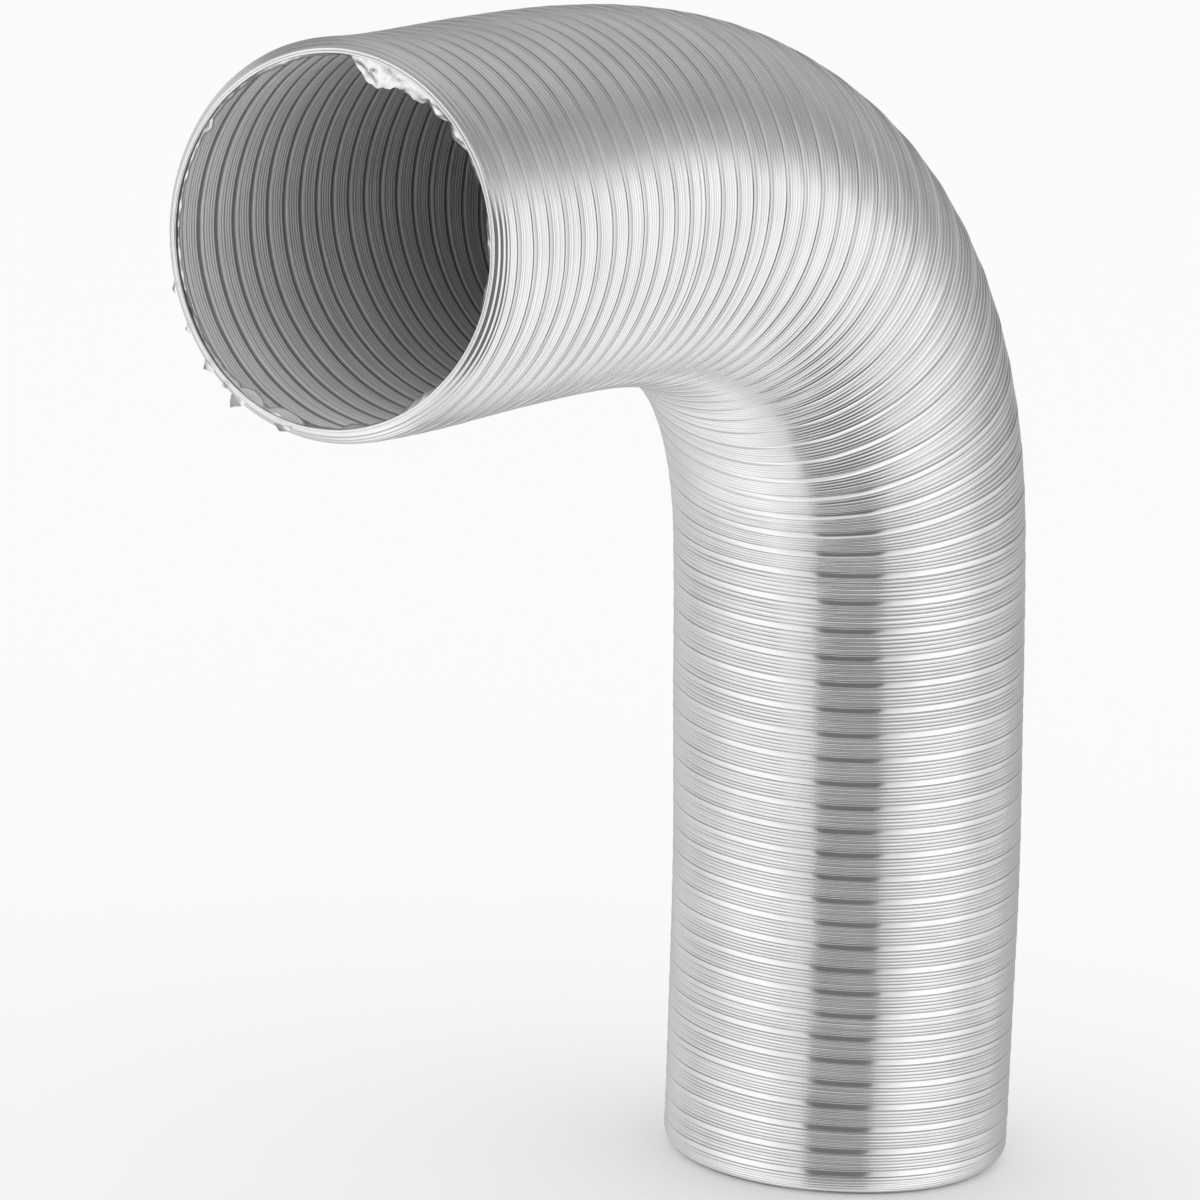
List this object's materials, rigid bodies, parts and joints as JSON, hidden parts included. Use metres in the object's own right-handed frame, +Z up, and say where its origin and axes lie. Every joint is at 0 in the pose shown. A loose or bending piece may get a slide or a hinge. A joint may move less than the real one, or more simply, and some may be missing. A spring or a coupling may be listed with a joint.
{
  "type": "flexible air duct",
  "caption": "Semi-rigid flexible aluminium air duct of spiral-wound pleated foil with a lock seam, compressed and bent through a right angle, with turned-in open ends.",
  "frame": {"origin": "centre of the lower mouth, in the plane of its rim", "axes": "+Z up the lower leg along the duct's axis, the bend lies in the YZ plane and the upper mouth faces -Y"},
  "size_m": [0.13, 0.439, 0.4492],
  "materials": {
    "aluminium_foil": "bright rolled aluminium foil, pleated, semi-gloss"
  },
  "bodies": {
    "lower_end_turn": {"lower_end_turn": "aluminium_foil"},
    "leg_turn_02": {"leg_turn_02": "aluminium_foil"},
    "leg_turn_03": {"leg_turn_03": "aluminium_foil"},
    "leg_turn_04": {"leg_turn_04": "aluminium_foil"},
    "leg_turn_05": {"leg_turn_05": "aluminium_foil"},
    "leg_turn_06": {"leg_turn_06": "aluminium_foil"},
    "leg_turn_07": {"leg_turn_07": "aluminium_foil"},
    "leg_turn_08": {"leg_turn_08": "aluminium_foil"},
    "leg_turn_09": {"leg_turn_09": "aluminium_foil"},
    "leg_turn_10": {"leg_turn_10": "aluminium_foil"},
    "leg_turn_11": {"leg_turn_11": "aluminium_foil"},
    "leg_turn_12": {"leg_turn_12": "aluminium_foil"},
    "leg_turn_13": {"leg_turn_13": "aluminium_foil"},
    "leg_turn_14": {"leg_turn_14": "aluminium_foil"},
    "leg_turn_15": {"leg_turn_15": "aluminium_foil"},
    "leg_turn_16": {"leg_turn_16": "aluminium_foil"},
    "leg_turn_17": {"leg_turn_17": "aluminium_foil"},
    "leg_turn_18": {"leg_turn_18": "aluminium_foil"},
    "leg_turn_19": {"leg_turn_19": "aluminium_foil"},
    "leg_turn_20": {"leg_turn_20": "aluminium_foil"},
    "leg_turn_21": {"leg_turn_21": "aluminium_foil"},
    "leg_turn_22": {"leg_turn_22": "aluminium_foil"},
    "leg_turn_23": {"leg_turn_23": "aluminium_foil"},
    "leg_turn_24": {"leg_turn_24": "aluminium_foil"},
    "leg_turn_25": {"leg_turn_25": "aluminium_foil"},
    "bend_turn_26": {"bend_turn_26": "aluminium_foil"},
    "bend_turn_27": {"bend_turn_27": "aluminium_foil"},
    "bend_turn_28": {"bend_turn_28": "aluminium_foil"},
    "bend_turn_29": {"bend_turn_29": "aluminium_foil"},
    "bend_turn_30": {"bend_turn_30": "aluminium_foil"},
    "bend_turn_31": {"bend_turn_31": "aluminium_foil"},
    "bend_turn_32": {"bend_turn_32": "aluminium_foil"},
    "bend_turn_33": {"bend_turn_33": "aluminium_foil"},
    "bend_turn_34": {"bend_turn_34": "aluminium_foil"},
    "bend_turn_35": {"bend_turn_35": "aluminium_foil"},
    "bend_turn_36": {"bend_turn_36": "aluminium_foil"},
    "bend_turn_37": {"bend_turn_37": "aluminium_foil"},
    "bend_turn_38": {"bend_turn_38": "aluminium_foil"},
    "bend_turn_39": {"bend_turn_39": "aluminium_foil"},
    "bend_turn_40": {"bend_turn_40": "aluminium_foil"},
    "bend_turn_41": {"bend_turn_41": "aluminium_foil"},
    "bend_turn_42": {"bend_turn_42": "aluminium_foil"},
    "bend_turn_43": {"bend_turn_43": "aluminium_foil"},
    "bend_turn_44": {"bend_turn_44": "aluminium_foil"},
    "bend_turn_45": {"bend_turn_45": "aluminium_foil"},
    "upper_turn_46": {"upper_turn_46": "aluminium_foil"},
    "upper_turn_47": {"upper_turn_47": "aluminium_foil"},
    "upper_turn_48": {"upper_turn_48": "aluminium_foil"},
    "upper_turn_49": {"upper_turn_49": "aluminium_foil"},
    "upper_turn_50": {"upper_turn_50": "aluminium_foil"},
    "upper_turn_51": {"upper_turn_51": "aluminium_foil"},
    "upper_turn_52": {"upper_turn_52": "aluminium_foil"},
    "upper_turn_53": {"upper_turn_53": "aluminium_foil"},
    "upper_turn_54": {"upper_turn_54": "aluminium_foil"},
    "upper_turn_55": {"upper_turn_55": "aluminium_foil"},
    "upper_turn_56": {"upper_turn_56": "aluminium_foil"},
    "upper_turn_57": {"upper_turn_57": "aluminium_foil"},
    "upper_turn_58": {"upper_turn_58": "aluminium_foil"},
    "upper_turn_59": {"upper_turn_59": "aluminium_foil"},
    "upper_end_turn": {"upper_end_turn": "aluminium_foil"}
  },
  "joints": [
    {"name": "leg_stretch_01", "type": "slide", "parent": "lower_end_turn", "child": "leg_turn_02", "axis": [0, -0.007, 1], "range_m": [0, 0.012]},
    {"name": "leg_stretch_02", "type": "slide", "parent": "leg_turn_02", "child": "leg_turn_03", "axis": [0, -0.0117, 0.9999], "range_m": [0, 0.012]},
    {"name": "leg_stretch_03", "type": "slide", "parent": "leg_turn_03", "child": "leg_turn_04", "axis": [0, -0.0164, 0.9999], "range_m": [0, 0.012]},
    {"name": "leg_stretch_04", "type": "slide", "parent": "leg_turn_04", "child": "leg_turn_05", "axis": [0, -0.0212, 0.9998], "range_m": [0, 0.012]},
    {"name": "leg_stretch_05", "type": "slide", "parent": "leg_turn_05", "child": "leg_turn_06", "axis": [0, -0.0259, 0.9997], "range_m": [0, 0.012]},
    {"name": "leg_stretch_06", "type": "slide", "parent": "leg_turn_06", "child": "leg_turn_07", "axis": [0, -0.0306, 0.9995], "range_m": [0, 0.012]},
    {"name": "leg_stretch_07", "type": "slide", "parent": "leg_turn_07", "child": "leg_turn_08", "axis": [0, -0.0353, 0.9994], "range_m": [0, 0.012]},
    {"name": "leg_stretch_08", "type": "slide", "parent": "leg_turn_08", "child": "leg_turn_09", "axis": [0, -0.0401, 0.9992], "range_m": [0, 0.012]},
    {"name": "leg_stretch_09", "type": "slide", "parent": "leg_turn_09", "child": "leg_turn_10", "axis": [0, -0.0448, 0.999], "range_m": [0, 0.012]},
    {"name": "leg_stretch_10", "type": "slide", "parent": "leg_turn_10", "child": "leg_turn_11", "axis": [0, -0.0496, 0.9988], "range_m": [0, 0.012]},
    {"name": "leg_stretch_11", "type": "slide", "parent": "leg_turn_11", "child": "leg_turn_12", "axis": [0, -0.0544, 0.9985], "range_m": [0, 0.012]},
    {"name": "leg_stretch_12", "type": "slide", "parent": "leg_turn_12", "child": "leg_turn_13", "axis": [0, -0.0592, 0.9982], "range_m": [0, 0.012]},
    {"name": "leg_stretch_13", "type": "slide", "parent": "leg_turn_13", "child": "leg_turn_14", "axis": [0, -0.064, 0.998], "range_m": [0, 0.012]},
    {"name": "leg_stretch_14", "type": "slide", "parent": "leg_turn_14", "child": "leg_turn_15", "axis": [0, -0.0688, 0.9976], "range_m": [0, 0.012]},
    {"name": "leg_stretch_15", "type": "slide", "parent": "leg_turn_15", "child": "leg_turn_16", "axis": [0, -0.0736, 0.9973], "range_m": [0, 0.012]},
    {"name": "leg_stretch_16", "type": "slide", "parent": "leg_turn_16", "child": "leg_turn_17", "axis": [0, -0.0785, 0.9969], "range_m": [0, 0.012]},
    {"name": "leg_stretch_17", "type": "slide", "parent": "leg_turn_17", "child": "leg_turn_18", "axis": [0, -0.0834, 0.9965], "range_m": [0, 0.012]},
    {"name": "leg_stretch_18", "type": "slide", "parent": "leg_turn_18", "child": "leg_turn_19", "axis": [0, -0.0884, 0.9961], "range_m": [0, 0.012]},
    {"name": "leg_sway_19", "type": "hinge", "parent": "leg_turn_19", "child": "leg_turn_20", "pos_m": [0.065, -0.00825, 0.17605], "axis": [0, 0.9956, 0.0935], "range_deg": [0, 4]},
    {"name": "leg_sway_20", "type": "hinge", "parent": "leg_turn_20", "child": "leg_turn_21", "pos_m": [0.065, -0.00918, 0.18569], "axis": [0, 0.9951, 0.0986], "range_deg": [0, 4]},
    {"name": "leg_sway_21", "type": "hinge", "parent": "leg_turn_21", "child": "leg_turn_22", "pos_m": [0.065, -0.01018, 0.19553], "axis": [0, 0.9946, 0.1038], "range_deg": [0, 4]},
    {"name": "leg_sway_22", "type": "hinge", "parent": "leg_turn_22", "child": "leg_turn_23", "pos_m": [0.065, -0.01125, 0.2056], "axis": [0, 0.994, 0.1091], "range_deg": [0, 4]},
    {"name": "leg_sway_23", "type": "hinge", "parent": "leg_turn_23", "child": "leg_turn_24", "pos_m": [0.065, -0.01242, 0.21596], "axis": [0, 0.9934, 0.1146], "range_deg": [0, 4]},
    {"name": "leg_sway_24", "type": "hinge", "parent": "leg_turn_24", "child": "leg_turn_25", "pos_m": [0.065, -0.01369, 0.22669], "axis": [0, 0.9927, 0.1203], "range_deg": [0, 4]},
    {"name": "bend_straighten_25", "type": "hinge", "parent": "leg_turn_25", "child": "bend_turn_26", "pos_m": [0, 0.0494, 0.24605], "axis": [-1, 0, 0], "range_deg": [0, 1.26]},
    {"name": "bend_straighten_26", "type": "hinge", "parent": "bend_turn_26", "child": "bend_turn_27", "pos_m": [0, 0.04716, 0.26104], "axis": [-1, 0, 0], "range_deg": [0, 4.14]},
    {"name": "bend_straighten_27", "type": "hinge", "parent": "bend_turn_27", "child": "bend_turn_28", "pos_m": [0, 0.04334, 0.27825], "axis": [-1, 0, 0], "range_deg": [0, 5]},
    {"name": "bend_straighten_28", "type": "hinge", "parent": "bend_turn_28", "child": "bend_turn_29", "pos_m": [0, 0.03761, 0.29642], "axis": [-1, 0, 0], "range_deg": [0, 5.53]},
    {"name": "bend_straighten_29", "type": "hinge", "parent": "bend_turn_29", "child": "bend_turn_30", "pos_m": [0, 0.02967, 0.31511], "axis": [-1, 0, 0], "range_deg": [0, 5.9]},
    {"name": "bend_straighten_30", "type": "hinge", "parent": "bend_turn_30", "child": "bend_turn_31", "pos_m": [0, 0.01932, 0.33388], "axis": [-1, 0, 0], "range_deg": [0, 6.13]},
    {"name": "bend_straighten_31", "type": "hinge", "parent": "bend_turn_31", "child": "bend_turn_32", "pos_m": [0, 0.0065, 0.35217], "axis": [-1, 0, 0], "range_deg": [0, 6.2]},
    {"name": "bend_straighten_32", "type": "hinge", "parent": "bend_turn_32", "child": "bend_turn_33", "pos_m": [0, -0.00861, 0.36943], "axis": [-1, 0, 0], "range_deg": [0, 6.12]},
    {"name": "bend_straighten_33", "type": "hinge", "parent": "bend_turn_33", "child": "bend_turn_34", "pos_m": [0, -0.0256, 0.38509], "axis": [-1, 0, 0], "range_deg": [0, 5.85]},
    {"name": "bend_straighten_34", "type": "hinge", "parent": "bend_turn_34", "child": "bend_turn_35", "pos_m": [0, -0.04385, 0.39876], "axis": [-1, 0, 0], "range_deg": [0, 5.44]},
    {"name": "bend_straighten_35", "type": "hinge", "parent": "bend_turn_35", "child": "bend_turn_36", "pos_m": [0, -0.06267, 0.41025], "axis": [-1, 0, 0], "range_deg": [0, 4.92]},
    {"name": "bend_straighten_36", "type": "hinge", "parent": "bend_turn_36", "child": "bend_turn_37", "pos_m": [0, -0.08142, 0.41959], "axis": [-1, 0, 0], "range_deg": [0, 4.35]},
    {"name": "bend_straighten_37", "type": "hinge", "parent": "bend_turn_37", "child": "bend_turn_38", "pos_m": [0, -0.09962, 0.427], "axis": [-1, 0, 0], "range_deg": [0, 3.78]},
    {"name": "bend_straighten_38", "type": "hinge", "parent": "bend_turn_38", "child": "bend_turn_39", "pos_m": [0, -0.11698, 0.43276], "axis": [-1, 0, 0], "range_deg": [0, 3.25]},
    {"name": "bend_straighten_39", "type": "hinge", "parent": "bend_turn_39", "child": "bend_turn_40", "pos_m": [0, -0.13339, 0.43718], "axis": [-1, 0, 0], "range_deg": [0, 2.78]},
    {"name": "bend_straighten_40", "type": "hinge", "parent": "bend_turn_40", "child": "bend_turn_41", "pos_m": [0, -0.14882, 0.44055], "axis": [-1, 0, 0], "range_deg": [0, 2.38]},
    {"name": "bend_straighten_41", "type": "hinge", "parent": "bend_turn_41", "child": "bend_turn_42", "pos_m": [0, -0.16335, 0.4431], "axis": [-1, 0, 0], "range_deg": [0, 2.02]},
    {"name": "bend_straighten_42", "type": "hinge", "parent": "bend_turn_42", "child": "bend_turn_43", "pos_m": [0, -0.17707, 0.44501], "axis": [-1, 0, 0], "range_deg": [0, 1.72]},
    {"name": "bend_straighten_43", "type": "hinge", "parent": "bend_turn_43", "child": "bend_turn_44", "pos_m": [0, -0.19009, 0.44642], "axis": [-1, 0, 0], "range_deg": [0, 1.47]},
    {"name": "bend_straighten_44", "type": "hinge", "parent": "bend_turn_44", "child": "bend_turn_45", "pos_m": [0, -0.2025, 0.44745], "axis": [-1, 0, 0], "range_deg": [0, 1.24]},
    {"name": "bend_straighten_45", "type": "hinge", "parent": "bend_turn_45", "child": "upper_turn_46", "pos_m": [0, -0.21441, 0.44817], "axis": [-1, 0, 0], "range_deg": [0, 1.05]},
    {"name": "bend_straighten_46", "type": "hinge", "parent": "upper_turn_46", "child": "upper_turn_47", "pos_m": [0, -0.22589, 0.44866], "axis": [-1, 0, 0], "range_deg": [0, 0.8795]},
    {"name": "bend_straighten_47", "type": "hinge", "parent": "upper_turn_47", "child": "upper_turn_48", "pos_m": [0, -0.237, 0.44896], "axis": [-1, 0, 0], "range_deg": [0, 0.7278]},
    {"name": "bend_straighten_48", "type": "hinge", "parent": "upper_turn_48", "child": "upper_turn_49", "pos_m": [0, -0.24782, 0.44912], "axis": [-1, 0, 0], "range_deg": [0, 0.592]},
    {"name": "upper_stretch_49", "type": "slide", "parent": "upper_turn_49", "child": "upper_turn_50", "axis": [0, -1, -0.0003], "range_m": [0, 0.012]},
    {"name": "upper_stretch_50", "type": "slide", "parent": "upper_turn_50", "child": "upper_turn_51", "axis": [0, -1, -0.0075], "range_m": [0, 0.012]},
    {"name": "upper_stretch_51", "type": "slide", "parent": "upper_turn_51", "child": "upper_turn_52", "axis": [0, -0.9999, -0.0129], "range_m": [0, 0.012]},
    {"name": "upper_stretch_52", "type": "slide", "parent": "upper_turn_52", "child": "upper_turn_53", "axis": [0, -0.9999, -0.0167], "range_m": [0, 0.012]},
    {"name": "upper_stretch_53", "type": "slide", "parent": "upper_turn_53", "child": "upper_turn_54", "axis": [0, -0.9998, -0.0191], "range_m": [0, 0.012]},
    {"name": "upper_stretch_54", "type": "slide", "parent": "upper_turn_54", "child": "upper_turn_55", "axis": [0, -0.9998, -0.0205], "range_m": [0, 0.012]},
    {"name": "upper_swing_55", "type": "hinge", "parent": "upper_turn_55", "child": "upper_turn_56", "pos_m": [0.065, -0.31725, 0.3833], "axis": [0, -0.0209, 0.9998], "range_deg": [0, 4]},
    {"name": "upper_swing_56", "type": "hinge", "parent": "upper_turn_56", "child": "upper_turn_57", "pos_m": [0.065, -0.32702, 0.38311], "axis": [0, -0.0154, 0.9999], "range_deg": [0, 4]},
    {"name": "upper_swing_57", "type": "hinge", "parent": "upper_turn_57", "child": "upper_turn_58", "pos_m": [0.065, -0.3368, 0.38303], "axis": [0, -0.0016, 1], "range_deg": [0, 4]},
    {"name": "upper_swing_58", "type": "hinge", "parent": "upper_turn_58", "child": "upper_turn_59", "pos_m": [0.065, -0.34659, 0.38308], "axis": [0, 0.0123, 0.9999], "range_deg": [0, 4]},
    {"name": "upper_swing_59", "type": "hinge", "parent": "upper_turn_59", "child": "upper_end_turn", "pos_m": [0.065, -0.35638, 0.38327], "axis": [0, 0.0262, 0.9997], "range_deg": [0, 4]}
  ],
  "couplings": [
    {"joint": "leg_stretch_02", "follows": "leg_stretch_01", "ratio": 1},
    {"joint": "leg_stretch_03", "follows": "leg_stretch_01", "ratio": 1},
    {"joint": "leg_stretch_04", "follows": "leg_stretch_01", "ratio": 1},
    {"joint": "leg_stretch_05", "follows": "leg_stretch_01", "ratio": 1},
    {"joint": "leg_stretch_06", "follows": "leg_stretch_01", "ratio": 1},
    {"joint": "leg_stretch_07", "follows": "leg_stretch_01", "ratio": 1},
    {"joint": "leg_stretch_08", "follows": "leg_stretch_01", "ratio": 1},
    {"joint": "leg_stretch_09", "follows": "leg_stretch_01", "ratio": 1},
    {"joint": "leg_stretch_10", "follows": "leg_stretch_01", "ratio": 1},
    {"joint": "leg_stretch_11", "follows": "leg_stretch_01", "ratio": 1},
    {"joint": "leg_stretch_12", "follows": "leg_stretch_01", "ratio": 1},
    {"joint": "leg_stretch_13", "follows": "leg_stretch_01", "ratio": 1},
    {"joint": "leg_stretch_14", "follows": "leg_stretch_01", "ratio": 1},
    {"joint": "leg_stretch_15", "follows": "leg_stretch_01", "ratio": 1},
    {"joint": "leg_stretch_16", "follows": "leg_stretch_01", "ratio": 1},
    {"joint": "leg_stretch_17", "follows": "leg_stretch_01", "ratio": 1},
    {"joint": "leg_stretch_18", "follows": "leg_stretch_01", "ratio": 1},
    {"joint": "leg_sway_20", "follows": "leg_sway_19", "ratio": 1},
    {"joint": "leg_sway_21", "follows": "leg_sway_19", "ratio": 1},
    {"joint": "leg_sway_22", "follows": "leg_sway_19", "ratio": 1},
    {"joint": "leg_sway_23", "follows": "leg_sway_19", "ratio": 1},
    {"joint": "leg_sway_24", "follows": "leg_sway_19", "ratio": 1},
    {"joint": "bend_straighten_25", "follows": "bend_straighten_31", "ratio": 0.20337},
    {"joint": "bend_straighten_26", "follows": "bend_straighten_31", "ratio": 0.66691},
    {"joint": "bend_straighten_27", "follows": "bend_straighten_31", "ratio": 0.80491},
    {"joint": "bend_straighten_28", "follows": "bend_straighten_31", "ratio": 0.89069},
    {"joint": "bend_straighten_29", "follows": "bend_straighten_31", "ratio": 0.95036},
    {"joint": "bend_straighten_30", "follows": "bend_straighten_31", "ratio": 0.98746},
    {"joint": "bend_straighten_32", "follows": "bend_straighten_31", "ratio": 0.98522},
    {"joint": "bend_straighten_33", "follows": "bend_straighten_31", "ratio": 0.94257},
    {"joint": "bend_straighten_34", "follows": "bend_straighten_31", "ratio": 0.87564},
    {"joint": "bend_straighten_35", "follows": "bend_straighten_31", "ratio": 0.79184},
    {"joint": "bend_straighten_36", "follows": "bend_straighten_31", "ratio": 0.70027},
    {"joint": "bend_straighten_37", "follows": "bend_straighten_31", "ratio": 0.60917},
    {"joint": "bend_straighten_38", "follows": "bend_straighten_31", "ratio": 0.52426},
    {"joint": "bend_straighten_39", "follows": "bend_straighten_31", "ratio": 0.44847},
    {"joint": "bend_straighten_40", "follows": "bend_straighten_31", "ratio": 0.38255},
    {"joint": "bend_straighten_41", "follows": "bend_straighten_31", "ratio": 0.32598},
    {"joint": "bend_straighten_42", "follows": "bend_straighten_31", "ratio": 0.2776},
    {"joint": "bend_straighten_43", "follows": "bend_straighten_31", "ratio": 0.2361},
    {"joint": "bend_straighten_44", "follows": "bend_straighten_31", "ratio": 0.20024},
    {"joint": "bend_straighten_45", "follows": "bend_straighten_31", "ratio": 0.16897},
    {"joint": "bend_straighten_46", "follows": "bend_straighten_31", "ratio": 0.14143},
    {"joint": "bend_straighten_47", "follows": "bend_straighten_31", "ratio": 0.11697},
    {"joint": "bend_straighten_48", "follows": "bend_straighten_31", "ratio": 0.09509},
    {"joint": "upper_stretch_50", "follows": "upper_stretch_49", "ratio": 1},
    {"joint": "upper_stretch_51", "follows": "upper_stretch_49", "ratio": 1},
    {"joint": "upper_stretch_52", "follows": "upper_stretch_49", "ratio": 1},
    {"joint": "upper_stretch_53", "follows": "upper_stretch_49", "ratio": 1},
    {"joint": "upper_stretch_54", "follows": "upper_stretch_49", "ratio": 1},
    {"joint": "upper_swing_56", "follows": "upper_swing_55", "ratio": 1},
    {"joint": "upper_swing_57", "follows": "upper_swing_55", "ratio": 1},
    {"joint": "upper_swing_58", "follows": "upper_swing_55", "ratio": 1},
    {"joint": "upper_swing_59", "follows": "upper_swing_55", "ratio": 1}
  ]
}
